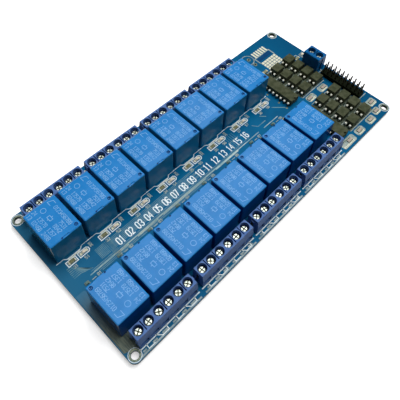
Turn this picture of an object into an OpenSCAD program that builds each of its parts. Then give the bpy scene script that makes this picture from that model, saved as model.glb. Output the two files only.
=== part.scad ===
// Relay module board: two rows of sealed cube relays on one circuit board, screw terminal
// blocks along both long edges, and the control parts at one short end.
// X runs along the board, Y across it towards the back row, Z up.
// Z = 0 is the plane through the trimmed lead tips, which the board rests on.

/* [Board] */
// Width of the circuit board along Y
board_width = 83.4; // [83:0.2:90]
// Thickness of the laminate
board_thickness = 1.6; // [1:0.1:2.4]
// Radius of the board's corners
board_corner_radius = 3; // [1:0.5:4]
// Diameter of the four mounting holes
mount_hole_d = 3.2; // [2.5:0.1:3.4]
// Distance from a mounting hole's centre to each board edge
mount_hole_inset = 3; // [2.6:0.1:3.4]
// How far trimmed leads stand out under the board
lead_tail = 1.8; // [1.2:0.1:3]

/* [Relays] */
// Relays in each row, two to a terminal block
relay_count = 8; // [2:2:8]
// Width of a relay cover along X
relay_width = 15.2; // [14.6:0.1:15.6]
// Length of a relay cover along Y
relay_length = 19; // [18.4:0.1:19.4]
// Height of a relay above the board
relay_height = 15.4; // [12:0.1:20]
// Clear gap between neighbouring relays
relay_gap = 1.65; // [1.2:0.05:2]
// Distance from the board's low-X edge to the first relay
relay_margin = 3.6; // [3.2:0.1:4.6]
// Wall of the moulded cover
relay_wall = 0.8; // [0.6:0.05:1]
// Thickness of the plug-in base
relay_base_thickness = 1.8; // [1.2:0.1:2.4]
// Gap between the front relays and the front terminal blocks
relay_gap_front = 2.1; // [1.6:0.1:2.6]
// Gap between the back relays and the back terminal blocks
relay_gap_back = 3.3; // [2:0.1:3.6]

/* [Terminal blocks] */
// Pitch of the screw ways
way_pitch = 5.08; // [5:0.04:5.08]
// Height of a block above the board
block_height = 9.3; // [8.8:0.1:12]
// Gap between neighbouring blocks
block_gap = 3; // [2:0.1:3.2]
// Distance from the board's low-X edge to the first block
block_margin = 5.9; // [5.6:0.1:7]
// Distance from the board's long edge to a block's foot
block_edge_gap = 3.2; // [2.8:0.1:3.4]
// Diameter of a screw well
well_d = 4.2; // [4:0.05:4.3]
// Depth from the block's top to the screw head
screw_recess = 1.8; // [1:0.1:2.5]

/* [Control end] */
// Clear gap between the last relay and the driver chips' leads
driver_gap = 3.7; // [3:0.05:6]
// Clear gap between the leads of the driver chips and of the first optocouplers
opto_gap = 3.35; // [2.5:0.05:6]
// Clear gap between the leads of the two files of optocouplers
opto_file_gap = 2.6; // [2:0.05:6]
// Clear gap between the last optocouplers' leads and the pin header
header_gap = 1.9; // [1.8:0.05:6]
// Distance from the pin header's centre to the board's high-X edge
header_inset = 5.95; // [5.6:0.05:8]
// Positions along the pin header
header_positions = 10; // [2:1:10]
// Clear gap between the power terminal's foot and the high-X edge
power_edge_gap = 1.9; // [1.4:0.05:2.2]
// Clear gap between the pin header's end and the power terminal
power_gap = 2.2; // [1:0.1:4]
// Spacing of the optocouplers in a file
opto_spacing = 6.35; // [5.8:0.05:6.5]
// Length of a driver chip's body
driver_length = 22.9; // [22.4:0.1:23.2]

/* [Hidden] */
$fn = 48;
eps = 0.01;

// Shared levels and clearances
board_top = lead_tail + board_thickness;
lead_clearance = 0.12;
solder_clearance = 0.02;
seat_gap = 0.1;
solder_height = 1.2;
solder_tip = 0.1;
solder_foot = 0.42;

// Dual in-line packages: optocouplers and driver chips
dip_row_half = 3.81;
dip_lead_pitch = 2.54;
dip_lead_thickness = 0.25;
dip_shoulder_width = 1.4;
dip_tail_width = 0.5;
dip_stand_off = 0.5;
dip_shoulder_z = 2.1;
dip_leg_z = 0.6;
dip_draft = 0.22;
dip_half_span = dip_row_half + dip_lead_thickness / 2;
dip_tail = [dip_lead_thickness, dip_tail_width];
opto_body = [6.4, 4.6, 3.4];
opto_dot = [1.1, 0.8, 0.1];
opto_files = 2;
opto_rows = 4;
driver_body = [6.4, driver_length, 3.4];
driver_leads = 9;
index_notch = [1.8, 0.8];

// Pin header
header_pitch = 2.54;
header_height = 2.54;
header_pin = 0.64;
header_pin_rise = 6;
header_pin_tip = 0.6;
header_chamfer = 0.35;
header_length = header_positions * header_pitch;

// The board's length is what stands along it, one part after the other
relay_pitch = relay_width + relay_gap;
driver_along = relay_margin + relay_count * relay_pitch - relay_gap + driver_gap + dip_half_span;
opto_file_pitch = 2 * dip_half_span + opto_file_gap;
opto_along = driver_along + 2 * dip_half_span + opto_gap;
header_along = opto_along + (opto_files - 1) * opto_file_pitch + dip_half_span + header_gap
    + header_pitch;
board_length = header_along + header_inset;
high_x = board_length / 2;
low_x = -high_x;
high_y = board_width / 2;

// Relay sizes that follow from the driving ones
relay_foot = 0.3;
relay_edge = 0.35;
relay_corner = 0.5;
vent_d = 1.2;
vent_depth = 0.4;
vent_inset = [1.6, 1.6];
notch_size = [3.6, 0.7, 0.4];
relay_pin = [1.0, 0.5];
relay_pin_rise = 0.8;
relay_base_foot = [1.2, 2.4, 1];
relay_pin_side_inset = 1.6;
relay_pin_end_inset = 2.4;
relay_pin_step = 2;
relay_pin_x = relay_width / 2 - relay_pin_side_inset;
relay_pin_y = relay_length / 2 - relay_pin_end_inset;
relay_pin_holes = [[-relay_pin_x, relay_pin_y], [relay_pin_x, relay_pin_y],
                   [-relay_pin_x, relay_pin_step - relay_pin_y],
                   [relay_pin_x, relay_pin_step - relay_pin_y], [0, -relay_pin_y]];

// Terminal block profile: distances from the screw axis, inwards and outwards
block_in = 2.5;
block_out = 2.7;
block_foot_out = 3.5;
block_edge = 0.3;
block_count = relay_count / 2;
block_ways = 6;
slit_size = [0.5, 4.2, 1.6];
seam_size = [0.2, 0.3];
floor_thickness = 0.7;
chamber_width = 4.1;
chamber_height = 3.8;
chamber_back_wall = 0.6;
chamber_roof = 0.9;
chamber_lintel = 0.1;
screw_clearance = 0.2;
screw_head_d = well_d - 2 * screw_clearance;
screw_shank_d = 2.5;
screw_slot = [0.7, 0.9];
screw_reach = 1.2;
clamp_size = [3.7, 3.8, 3.4];
clamp_window = [2.7, 1.9];
clamp_offset = 0.2;
terminal_pin = [1.0, 0.8];
power_height = 10;
power_in = 3.7;
power_out = 3.2;
power_foot_out = 4.1;
power_ways = 2;
dovetail_width = 1.4;
dovetail_depth = 0.6;
dovetail_clearance = 0.15;
dovetail_stop = 1.2;
block_length = block_ways * way_pitch;
block_pitch = block_length + block_gap;
block_row = high_y - block_edge_gap - block_foot_out;
roof_z = floor_thickness + chamber_height + chamber_roof;
// How each block is built up from two-way and three-way modules
front_modules = [[2, 2, 2], [3, 3], [3, 3], [3, 3]];
back_modules = [[3, 3], [3, 3], [3, 3], [3, 3]];

relay_row_front = -(block_row - block_in - relay_gap_front - relay_length / 2);
relay_row_back = block_row - block_in - relay_gap_back - relay_length / 2;

// Where the control parts stand across the board: group 0 near its middle, group 1 near the
// low-Y edge, and the header and power terminal along the high-X edge
opto_middle_y = 8.1;
driver_middle_y = 8;
opto_edge_gap = 7.1;
driver_edge_gap = 6.55;
header_edge_gap = 16;
opto_group_half = (opto_rows - 1) / 2 * opto_spacing + opto_body[1] / 2;
opto_group_y = [opto_middle_y, opto_edge_gap + opto_group_half - high_y];
driver_y = [driver_middle_y, driver_edge_gap + driver_length / 2 - high_y];
header_y = header_edge_gap + header_length / 2 - high_y;
power_half = power_ways * way_pitch / 2;
power_y = header_y + header_length / 2 + power_gap + power_half;
power_inset = power_edge_gap + power_foot_out;

// Surface-mounted chips: two-ended parts and four-element resistor arrays
chip_body = [3.2, 1.6, 0.55];
chip_cap = 0.35;
led_body = [2.0, 1.25, 0.4];
led_lens = [1.2, 1.1, 0.35];
array_body = [3.2, 1.3, 0.55];
array_cap = [0.5, 0.3];
array_pitch = 0.8;
resistor_offset_back = [-2.7, -12.6];
led_offset_back = [3.4, -12.6];
resistor_offset_front = [2.8, 14.2];
led_offset_front = [-4.0, 16.3];
// Power light and its resistor stand past the power terminal, and one more resistor past the
// first optocoupler group; the insets are from the high-X edge
spare_gap = 4.15;
spare_row_y = power_y + power_half + spare_gap;
spare_resistor_inset = 7.7;
spare_led_inset = 2.8;
lone_resistor_inset = 29.5;
lone_resistor_gap = 2;
spare_resistors = [[spare_resistor_inset, spare_row_y],
                   [lone_resistor_inset, opto_middle_y + opto_group_half + lone_resistor_gap]];
spare_leds = [[spare_led_inset, spare_row_y]];
// Resistor arrays: two between the optocoupler groups, the others along the low-Y edge
array_gap_insets = [14.8, 26.9];
array_edge_places = [[4.9, 9.8], [8.2, 4.7], [15.5, 3.5], [25.8, 3.5], [34.8, 3.5]];
array_gap_y = (opto_group_y[0] + opto_group_y[1]) / 2;
// Plated holes that hold no part, for a reservoir capacitor and a coil: distance in from the
// high-X edge and from the high-Y edge
empty_holes = [[28.9, 7.1], [28.9, 12.1], [34, 7.1]];
empty_hole_d = 1.0;

cover_names = [for (i = [1:2 * relay_count]) str("relay_cover_", i < 10 ? "0" : "", i)];
block_names = [for (row = ["front", "back"], i = [1:block_count]) str("terminal_block_", row, "_", i)];

// ---- Placement helpers ----

function relay_x(i) = low_x + relay_margin + relay_width / 2 + i * relay_pitch;
function way_x(block, way) =
    low_x + block_margin + block * block_pitch + (way + 0.5) * way_pitch;
function opto_y(group, row) =
    opto_group_y[group] + (row - (opto_rows - 1) / 2) * opto_spacing;
function centred(i, count, pitch) = (i - (count - 1) / 2) * pitch;
// Middle of a block's row of ways, measured from the first way
function middle(ways) = (ways - 1) / 2 * way_pitch;

// Children stand on the board at each relay of a row; the back row is turned half a turn
module at_relay(front, i)
    translate([relay_x(i), front ? relay_row_front : relay_row_back, board_top])
        rotate(front ? 180 : 0) children();

module at_relays(front)
    for (i = [0:relay_count - 1]) at_relay(front, i) children();

// Children stand at a way's screw axis with +Y towards the board's edge
module at_way(front, block, way)
    translate([way_x(block, way), front ? -block_row : block_row, board_top])
        rotate(front ? 180 : 0) children();

module at_ways(front)
    for (block = [0:block_count - 1], way = [0:block_ways - 1])
        at_way(front, block, way) children();

module at_power_ways()
    for (way = [0:power_ways - 1])
        translate([high_x - power_inset, power_y + centred(way, power_ways, way_pitch), board_top])
            rotate(-90) children();

module at_header_pins()
    for (i = [0:header_positions - 1], j = [0, 1])
        translate([high_x - header_inset + centred(j, 2, header_pitch),
                   header_y + centred(i, header_positions, header_pitch), 0]) children();

module at_optos(group)
    for (file = [0:opto_files - 1], row = [0:opto_rows - 1])
        translate([low_x + opto_along + file * opto_file_pitch, opto_y(group, row), board_top])
            children();

module at_driver(group)
    translate([low_x + driver_along, driver_y[group], board_top]) children();

// Children stand at each lead hole of a dual in-line package with `count` leads a side
module at_dip_leads(count)
    for (side = [-1, 1], i = [0:count - 1])
        translate([side * dip_row_half, centred(i, count, dip_lead_pitch), 0])
            mirror([side > 0 ? 0 : 1, 0, 0]) children();

module at_channel(front, offset)
    for (i = [0:relay_count - 1])
        translate([relay_x(i) + offset[0],
                   (front ? relay_row_front : relay_row_back) + offset[1], board_top])
            children();

module at_resistors() {
    at_channel(false, resistor_offset_back) children();
    at_channel(true, resistor_offset_front) children();
    for (p = spare_resistors) translate([high_x - p[0], p[1], board_top]) children();
}

module at_leds() {
    at_channel(false, led_offset_back) children();
    at_channel(true, led_offset_front) children();
    for (p = spare_leds) translate([high_x - p[0], p[1], board_top]) children();
}

module at_arrays() {
    for (inset = array_gap_insets) translate([high_x - inset, array_gap_y, board_top]) children();
    for (p = array_edge_places) translate([high_x - p[0], p[1] - high_y, board_top]) children();
}

// ---- Shared shapes ----

module box(size) translate([-size[0] / 2, -size[1] / 2, 0]) cube(size);

module rounded_rectangle(length, width, radius) {
    square([length - 2 * radius, width], center = true);
    square([length, width - 2 * radius], center = true);
    for (x = [-1, 1], y = [-1, 1])
        translate([x * (length / 2 - radius), y * (width / 2 - radius)]) circle(radius);
}

// A block whose four top edges are bevelled, with rounded upright corners
module bevelled_block(length, width, height, radius, bevel)
    intersection() {
        linear_extrude(height) rounded_rectangle(length, width, radius);
        rotate([90, 0, 0]) linear_extrude(width, center = true)
            bevelled_profile(length, height, bevel);
        rotate([90, 0, 90]) linear_extrude(length, center = true)
            bevelled_profile(width, height, bevel);
    }

module bevelled_profile(length, height, bevel)
    polygon([[-length / 2, 0], [length / 2, 0], [length / 2, height - bevel],
             [length / 2 - bevel, height], [-length / 2 + bevel, height],
             [-length / 2, height - bevel]]);

function half_diagonal(size) = norm(size) / 2;

// A drill through the board and its solder side, for a lead of the given section
module lead_hole(size)
    translate([0, 0, -eps]) cylinder(r = half_diagonal(size) + lead_clearance, h = board_top + 2 * eps);

// A lead's cone of solder under the board
module solder_cone(size) {
    bore = half_diagonal(size) + solder_clearance;
    translate([0, 0, lead_tail - solder_height]) difference() {
        cylinder(r1 = bore + solder_tip, r2 = bore + solder_foot, h = solder_height);
        translate([0, 0, -eps]) cylinder(r = bore, h = solder_height + 2 * eps);
    }
}

// ---- Circuit board ----

// Places of the leads, shared by the board's drills and the solder under it
module at_relay_pin_holes()
    for (front = [true, false]) at_relays(front)
        for (p = relay_pin_holes) translate([p[0], p[1], -board_top]) children();

module at_terminal_pin_holes() {
    for (front = [true, false]) at_ways(front) translate([0, 0, -board_top]) children();
    at_power_ways() translate([0, 0, -board_top]) children();
}

module at_dip_holes() {
    for (group = [0, 1]) {
        at_optos(group) at_dip_leads(2) translate([0, 0, -board_top]) children();
        at_driver(group) at_dip_leads(driver_leads) translate([0, 0, -board_top]) children();
    }
}

module circuit_board()
    color("steelblue") difference() {
        translate([0, 0, lead_tail]) linear_extrude(board_thickness)
            rounded_rectangle(board_length, board_width, board_corner_radius);
        for (x = [-1, 1], y = [-1, 1])
            translate([x * (high_x - mount_hole_inset), y * (high_y - mount_hole_inset), 0])
                cylinder(d = mount_hole_d, h = board_top + 1);
        at_relay_pin_holes() lead_hole(relay_pin);
        at_terminal_pin_holes() lead_hole(terminal_pin);
        at_header_pins() lead_hole([header_pin, header_pin]);
        at_dip_holes() lead_hole(dip_tail);
        for (p = empty_holes)
            translate([high_x - p[0], high_y - p[1], 0])
                cylinder(d = empty_hole_d, h = board_top + 1);
    }

module solder_joints()
    color("silver") {
        at_relay_pin_holes() solder_cone(relay_pin);
        at_terminal_pin_holes() solder_cone(terminal_pin);
        at_header_pins() solder_cone([header_pin, header_pin]);
        at_dip_holes() solder_cone(dip_tail);
    }

// ---- Relays ----
// In a relay's own frame -Y faces the middle of the board and +Y the terminal block.

module relay_cover()
    color("royalblue") difference() {
        translate([0, 0, relay_foot])
            bevelled_block(relay_width, relay_length, relay_height - relay_foot,
                           relay_corner, relay_edge);
        translate([0, 0, relay_foot - eps])
            linear_extrude(relay_height - relay_foot - relay_wall)
                rounded_rectangle(relay_width - 2 * relay_wall, relay_length - 2 * relay_wall,
                                  relay_corner);
        // Latch notch in the top's inner edge
        translate([0, -relay_length / 2 + notch_size[1] / 2, relay_height - notch_size[2]])
            box([notch_size[0], notch_size[1] + eps, notch_size[2] + eps]);
        // Vent dimple in one top corner
        translate([relay_width / 2 - vent_inset[0], -relay_length / 2 + vent_inset[1],
                   relay_height - vent_depth])
            cylinder(d = vent_d, h = vent_depth + eps);
    }

module relay_base()
    color("darkslategray") {
        inner = [relay_width - 2 * relay_wall - 2 * seat_gap,
                 relay_length - 2 * relay_wall - 2 * seat_gap];
        difference() {
            union() {
                translate([0, 0, relay_foot]) linear_extrude(relay_base_thickness)
                    rounded_rectangle(inner[0], inner[1], relay_corner - seat_gap);
                // Feet that lift the base off the solder pads
                for (x = [-1, 1], y = [-1, 1])
                    translate([x * (inner[0] / 2 - relay_base_foot[1]),
                               y * (inner[1] / 2 - relay_base_foot[2]), 0])
                        box([relay_base_foot[0], relay_base_foot[0], relay_foot + eps]);
            }
            for (p = relay_pin_holes) translate([p[0], p[1], -eps])
                box([relay_pin[0] + solder_clearance, relay_pin[1] + solder_clearance,
                     relay_foot + relay_base_thickness + 2 * eps]);
        }
    }

module relay_pins(front)
    color("gainsboro") at_relays(front)
        for (p = relay_pin_holes)
            translate([p[0], p[1], -board_top])
                box([relay_pin[0], relay_pin[1],
                     board_top + relay_foot + relay_base_thickness + relay_pin_rise]);

// ---- Screw terminals ----
// In a way's own frame +Y is the side that the wire enters from.

module housing_profile(inner, outer, foot, height)
    polygon([[-inner, 0], [foot, 0], [foot, floor_thickness + chamber_height + chamber_lintel],
             [outer, height], [-inner + block_edge, height], [-inner, height - block_edge]]);

module way_cutouts(height, inner, foot) {
    translate([0, 0, roof_z]) cylinder(d = well_d, h = height);
    translate([0, 0, floor_thickness])
        cylinder(d = screw_shank_d + 2 * screw_clearance, h = roof_z);
    // Clamp chamber, open to the wire side
    translate([-chamber_width / 2, -inner + chamber_back_wall, floor_thickness])
        cube([chamber_width, inner - chamber_back_wall + foot + eps, chamber_height]);
    translate([0, 0, -eps]) cylinder(r = half_diagonal(terminal_pin) + lead_clearance,
                                     h = floor_thickness + 2 * eps);
}

// A row of ways, with a slit between two wells of one module and a seam between modules
module housing(modules, inner, outer, foot, height) {
    ways = modules * [for (m = modules) 1];
    length = ways * way_pitch;
    starts = [for (i = 0, s = 0; i < len(modules); s = s + modules[i], i = i + 1) s];
    difference() {
        union() {
            translate([-way_pitch / 2, 0, 0]) rotate([90, 0, 90])
                linear_extrude(length) housing_profile(inner, outer, foot, height);
            // Dovetail rib on one end
            translate([-way_pitch / 2 - dovetail_depth, 0, 0])
                dovetail_rib(dovetail_width, height - dovetail_stop);
        }
        // Dovetail groove in the other end
        translate([length - way_pitch / 2 - dovetail_depth, 0, -eps])
            dovetail_rib(dovetail_width + 2 * dovetail_clearance,
                         height - dovetail_stop + dovetail_clearance);
        for (way = [0:ways - 1]) translate([way * way_pitch, 0, 0]) way_cutouts(height, inner, foot);
        for (m = [0:len(modules) - 1]) {
            for (way = [starts[m] + 1:1:starts[m] + modules[m] - 1])
                translate([(way - 0.5) * way_pitch, 0, height - slit_size[2]])
                    box([slit_size[0], slit_size[1], slit_size[2] + eps]);
            if (m > 0)
                translate([(starts[m] - 0.5) * way_pitch, foot, -eps])
                    box([seam_size[0], seam_size[1], height + 2 * eps]);
        }
    }
}

module dovetail_rib(width, height)
    translate([0, -width / 2, 0]) cube([dovetail_depth + eps, width, height]);

module terminal_block(front, index) {
    modules = front ? front_modules[index] : back_modules[index];
    color(front ? "slateblue" : "steelblue")
        at_way(front, index, front ? block_ways - 1 : 0)
            housing(modules_seen(modules, front), block_in, block_out, block_foot_out, block_height);
}

// The front blocks are turned, so their modules are listed from the other end
function modules_seen(modules, front) =
    front ? [for (i = [len(modules) - 1:-1:0]) modules[i]] : modules;

module power_terminal()
    color("mediumblue")
        translate([high_x - power_inset, power_y + middle(power_ways), board_top])
            rotate(-90) housing([power_ways], power_in, power_out, power_foot_out, power_height);

// Slotted cheese-head screw that turns on the chamber's roof
module terminal_screw(height)
    color("gainsboro") {
        head_height = height - screw_recess - roof_z;
        translate([0, 0, roof_z]) difference() {
            cylinder(d = screw_head_d, h = head_height);
            translate([0, 0, head_height - screw_slot[1]])
                box([well_d, screw_slot[0], screw_slot[1] + eps]);
        }
        shank_bottom = floor_thickness + clamp_size[2] - screw_reach;
        translate([0, 0, shank_bottom])
            cylinder(d = screw_shank_d, h = roof_z + eps - shank_bottom);
    }

// Rising cage that the screw pulls against the wire
module terminal_clamp()
    color("silver") translate([0, clamp_offset, floor_thickness]) difference() {
        box(clamp_size);
        translate([0, 0, (clamp_size[2] - clamp_window[1]) / 2])
            box([clamp_window[0], clamp_size[1] + 2 * eps, clamp_window[1]]);
        translate([0, -clamp_offset, clamp_size[2] / 2])
            cylinder(r = screw_shank_d / 2 + solder_clearance, h = clamp_size[2]);
    }

module terminal_pin()
    color("silver") translate([0, 0, -board_top])
        box([terminal_pin[0], terminal_pin[1], board_top + floor_thickness]);

// ---- Pin header ----

module header_housing()
    color([0.1, 0.1, 0.1]) difference() {
        translate([high_x - header_inset, header_y, board_top]) linear_extrude(header_height)
            difference() {
                square([2 * header_pitch, header_length], center = true);
                // Break-off notches between positions
                for (i = [0:header_positions], side = [-1, 1])
                    translate([side * header_pitch, -header_length / 2 + i * header_pitch])
                        rotate(45) square(header_chamfer * sqrt(2), center = true);
            }
        at_header_pins() translate([0, 0, board_top - eps])
            box([header_pin + solder_clearance, header_pin + solder_clearance,
                 header_height + 2 * eps]);
    }

module pin_profile(length)
    polygon([[-header_pin / 2, 0], [header_pin / 2, 0], [header_pin / 2, length - header_pin_tip],
             [header_pin / 4, length], [-header_pin / 4, length],
             [-header_pin / 2, length - header_pin_tip]]);

module header_pins() {
    length = board_top + header_height + header_pin_rise;
    color([0.45, 0.42, 0.35]) at_header_pins() intersection() {
        rotate([90, 0, 0]) linear_extrude(header_pin, center = true) pin_profile(length);
        rotate([90, 0, 90]) linear_extrude(header_pin, center = true) pin_profile(length);
    }
}

// ---- Dual in-line packages ----

// A moulded body with drafted sides, its widest line where the leads come out
module dip_body(size) {
    foot_half = size[0] / 2 - dip_draft;
    rotate([90, 0, 0]) linear_extrude(size[1], center = true)
        polygon([[-foot_half, dip_stand_off], [foot_half, dip_stand_off],
                 [size[0] / 2, dip_shoulder_z], [foot_half, dip_stand_off + size[2]],
                 [-foot_half, dip_stand_off + size[2]], [-size[0] / 2, dip_shoulder_z]]);
}

// One lead: shoulder, wide upper leg and narrow tail through the board
module dip_lead(half_width) {
    shoulder_top = dip_shoulder_z + dip_lead_thickness / 2;
    translate([half_width - dip_row_half, -dip_shoulder_width / 2,
               shoulder_top - dip_lead_thickness])
        cube([dip_half_span - half_width, dip_shoulder_width, dip_lead_thickness]);
    translate([0, 0, dip_leg_z])
        box([dip_lead_thickness, dip_shoulder_width, shoulder_top - dip_leg_z]);
    translate([0, 0, -board_top]) box([dip_tail[0], dip_tail[1], board_top + dip_leg_z + eps]);
}

module optocouplers(group)
    color([0.25, 0.26, 0.18]) at_optos(group) difference() {
        dip_body(opto_body);
        // First-pin dot
        translate([-opto_body[0] / 2 + opto_dot[0], opto_body[1] / 2 - opto_dot[0],
                   dip_stand_off + opto_body[2] - opto_dot[2]])
            cylinder(d = opto_dot[1], h = opto_dot[2] + eps);
    }

module opto_leads(group)
    color("silver") at_optos(group) at_dip_leads(2) dip_lead(opto_body[0] / 2);

module driver_chip(group)
    color([0.25, 0.26, 0.18]) at_driver(group) difference() {
        dip_body(driver_body);
        // Index notch in one end
        translate([0, -driver_body[1] / 2, dip_stand_off + driver_body[2] - index_notch[1]])
            cylinder(d = index_notch[0], h = index_notch[1] + eps);
    }

module driver_leads_of(group)
    color("silver") at_driver(group) at_dip_leads(driver_leads) dip_lead(driver_body[0] / 2);

// ---- Surface-mounted chips ----

module chip_resistors()
    color([0.12, 0.12, 0.12]) at_resistors()
        box([chip_body[0] - 2 * chip_cap, chip_body[1], chip_body[2]]);

module channel_leds()
    color("white") at_leds() box([led_body[0] - 2 * chip_cap, led_body[1], led_body[2]]);

module led_lenses()
    color("ivory") at_leds() translate([0, 0, led_body[2]]) box(led_lens);

module resistor_arrays()
    color([0.12, 0.12, 0.12]) at_arrays() box(array_body);

// Tinned ends of all the surface-mounted parts
module chip_terminations()
    color("silver") {
        for (side = [-1, 1]) {
            at_resistors() translate([side * (chip_body[0] - chip_cap) / 2, 0, 0])
                box([chip_cap, chip_body[1], chip_body[2]]);
            at_leds() translate([side * (led_body[0] - chip_cap) / 2, 0, 0])
                box([chip_cap, led_body[1], led_body[2]]);
            at_arrays() for (i = [0:3])
                translate([centred(i, 4, array_pitch), side * (array_body[1] + array_cap[1]) / 2, 0])
                    box([array_cap[0], array_cap[1], array_body[2]]);
        }
    }

// ---- The nodes ----

circuit_board();
for (i = [0:2 * relay_count - 1])
    at_relay(i < relay_count, i % relay_count) relay_cover();
at_relays(true) relay_base();  // relay_bases_front
at_relays(false) relay_base();  // relay_bases_back
relay_pins(true);  // relay_pins_front
relay_pins(false);  // relay_pins_back
for (i = [0:2 * block_count - 1])
    terminal_block(i < block_count, i % block_count);
at_ways(true) terminal_screw(block_height);  // terminal_screws_front
at_ways(false) terminal_screw(block_height);  // terminal_screws_back
at_ways(true) terminal_clamp();  // terminal_clamps_front
at_ways(false) terminal_clamp();  // terminal_clamps_back
at_ways(true) terminal_pin();  // terminal_pins_front
at_ways(false) terminal_pin();  // terminal_pins_back
power_terminal();
at_power_ways() terminal_screw(power_height);  // power_screws
at_power_ways() terminal_clamp();  // power_clamps
at_power_ways() terminal_pin();  // power_pins
header_housing();
header_pins();
optocouplers(0);  // optocouplers_a
optocouplers(1);  // optocouplers_b
opto_leads(0);  // opto_leads_a
opto_leads(1);  // opto_leads_b
driver_chip(0);  // driver_chip_a
driver_chip(1);  // driver_chip_b
driver_leads_of(0);  // driver_leads_a
driver_leads_of(1);  // driver_leads_b
channel_leds();
led_lenses();
chip_resistors();
resistor_arrays();
chip_terminations();
solder_joints();
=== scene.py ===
import math
import random

import bpy
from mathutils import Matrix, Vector


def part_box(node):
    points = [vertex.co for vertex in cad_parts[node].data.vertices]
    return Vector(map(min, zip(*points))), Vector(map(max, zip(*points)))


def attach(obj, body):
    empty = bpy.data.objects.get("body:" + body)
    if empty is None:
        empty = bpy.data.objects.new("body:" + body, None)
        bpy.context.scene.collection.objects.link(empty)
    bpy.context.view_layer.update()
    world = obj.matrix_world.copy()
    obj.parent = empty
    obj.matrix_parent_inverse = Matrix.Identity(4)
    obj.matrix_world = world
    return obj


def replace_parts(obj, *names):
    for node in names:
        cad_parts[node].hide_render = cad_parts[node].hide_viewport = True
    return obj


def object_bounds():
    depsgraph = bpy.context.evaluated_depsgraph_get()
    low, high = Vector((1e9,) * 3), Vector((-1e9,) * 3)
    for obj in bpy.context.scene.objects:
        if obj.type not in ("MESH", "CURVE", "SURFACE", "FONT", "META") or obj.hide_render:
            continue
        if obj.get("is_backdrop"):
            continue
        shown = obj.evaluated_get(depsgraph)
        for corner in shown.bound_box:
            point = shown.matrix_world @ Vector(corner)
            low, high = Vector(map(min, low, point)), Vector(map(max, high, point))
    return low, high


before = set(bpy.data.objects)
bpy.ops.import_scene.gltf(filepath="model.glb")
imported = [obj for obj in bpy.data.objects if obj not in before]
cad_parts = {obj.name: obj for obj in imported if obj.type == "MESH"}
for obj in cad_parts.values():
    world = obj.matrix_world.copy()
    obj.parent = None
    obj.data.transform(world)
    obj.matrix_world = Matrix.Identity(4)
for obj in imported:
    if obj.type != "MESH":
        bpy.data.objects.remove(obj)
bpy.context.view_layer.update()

# ---- Circuit board ----
# A panel of woven glass and epoxy, 1.6 mm thick, milled to its outline with rounded corners.
# Both faces are coated with a glossy blue solder mask; the cut edges show the bare laminate.

MM = 0.001
BOARD_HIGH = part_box("circuit_board")[1]
BOARD_TOP = BOARD_HIGH.z / MM
MASK_BLUE = (0, 98, 142)
MASK_SHADE = (0, 86, 128)
MASK_DEEP = (0, 78, 118)
MASK_GLARE_GREY = (40, 104, 138)
LAMINATE_EDGE = (104, 112, 96)
MASK_SHINE = 0.03


def colour(rgb):
    """A colour as it is seen, from 0 to 255, in the linear light that shaders work in."""
    parts = [part / 255 for part in rgb]
    return [p / 12.92 if p < 0.04045 else ((p + 0.055) / 1.055) ** 2.4 for p in parts] + [1]


def new_finish(name, roughness):
    """A material with a plain surface shader, whose colour the caller then builds."""
    finish = bpy.data.materials.new(name)
    finish.use_nodes = True
    surface = finish.node_tree.nodes["Principled BSDF"]
    surface.inputs["Roughness"].default_value = roughness
    return finish, surface


def add(finish, kind, **settings):
    """A node of that kind; a setting whose name is an input's is that input's value."""
    node = finish.node_tree.nodes.new("ShaderNode" + kind)
    for name, value in settings.items():
        socket = name.replace("_", " ").title()
        if socket in node.inputs:
            node.inputs[socket].default_value = value
        else:
            setattr(node, name, value)
    return node


def join(finish, source, target):
    finish.node_tree.links.new(source, target)


def cloud(finish, size, detail=2.0):
    """Soft random patches about `size` millimetres across, fixed to the board."""
    place = add(finish, "TexCoord")
    noise = add(finish, "TexNoise", scale=1 / (size * MM), detail=detail)
    join(finish, place.outputs["Object"], noise.inputs["Vector"])
    return noise.outputs["Fac"]


def blend(finish, share, low, high):
    """Two colours mixed by a share; each is a colour or a socket that carries one."""
    mix = add(finish, "Mix", data_type="RGBA")
    join(finish, share, mix.inputs["Factor"])
    for value, socket in ((low, mix.inputs[6]), (high, mix.inputs[7])):
        if isinstance(value, bpy.types.NodeSocket):
            join(finish, value, socket)
        else:
            socket.default_value = colour(value)
    return mix.outputs[2]


def between(finish, value, low, high):
    """How far a value has come from `low` to `high`, held between 0 and 1."""
    ramp = add(finish, "MapRange", from_min=low, from_max=high)
    join(finish, value, ramp.inputs["Value"])
    return ramp.outputs["Result"]


def grain(finish, surface, size, depth):
    """Fine unevenness of the surface, `size` across and `depth` deep, in millimetres."""
    bump = add(finish, "Bump", strength=1.0, distance=depth * MM)
    join(finish, cloud(finish, size, detail=4.0), bump.inputs["Height"])
    join(finish, bump.outputs["Normal"], surface.inputs["Normal"])


def plastic(name, dark, light, roughness, patch=3.0, grain_size=0.25, grain_depth=0.01):
    """A moulded or painted finish whose colour drifts between two close shades."""
    finish, surface = new_finish(name, roughness)
    drift = between(finish, cloud(finish, patch), 0.35, 0.65)
    join(finish, blend(finish, drift, dark, light), surface.inputs["Base Color"])
    grain(finish, surface, grain_size, grain_depth)
    return finish


def metal(name, dark, light, roughness, patch=1.0, grain_size=0.2, grain_depth=0.01):
    """A metal finish, duller and darker in random patches."""
    finish = plastic(name, dark, light, roughness, patch, grain_size, grain_depth)
    finish.node_tree.nodes["Principled BSDF"].inputs["Metallic"].default_value = 1.0
    return finish


def shine(finish, level):
    """Sets how strongly a surface mirrors what is above it; 0.5 is ordinary glass or resin."""
    finish.node_tree.nodes["Principled BSDF"].inputs["Specular IOR Level"].default_value = level
    return finish


def dress(node, finish):
    """Gives a part of the frame its finish in place of the plain one it came with."""
    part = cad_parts[node]
    part.data.materials.clear()
    part.data.materials.append(finish)


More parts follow.
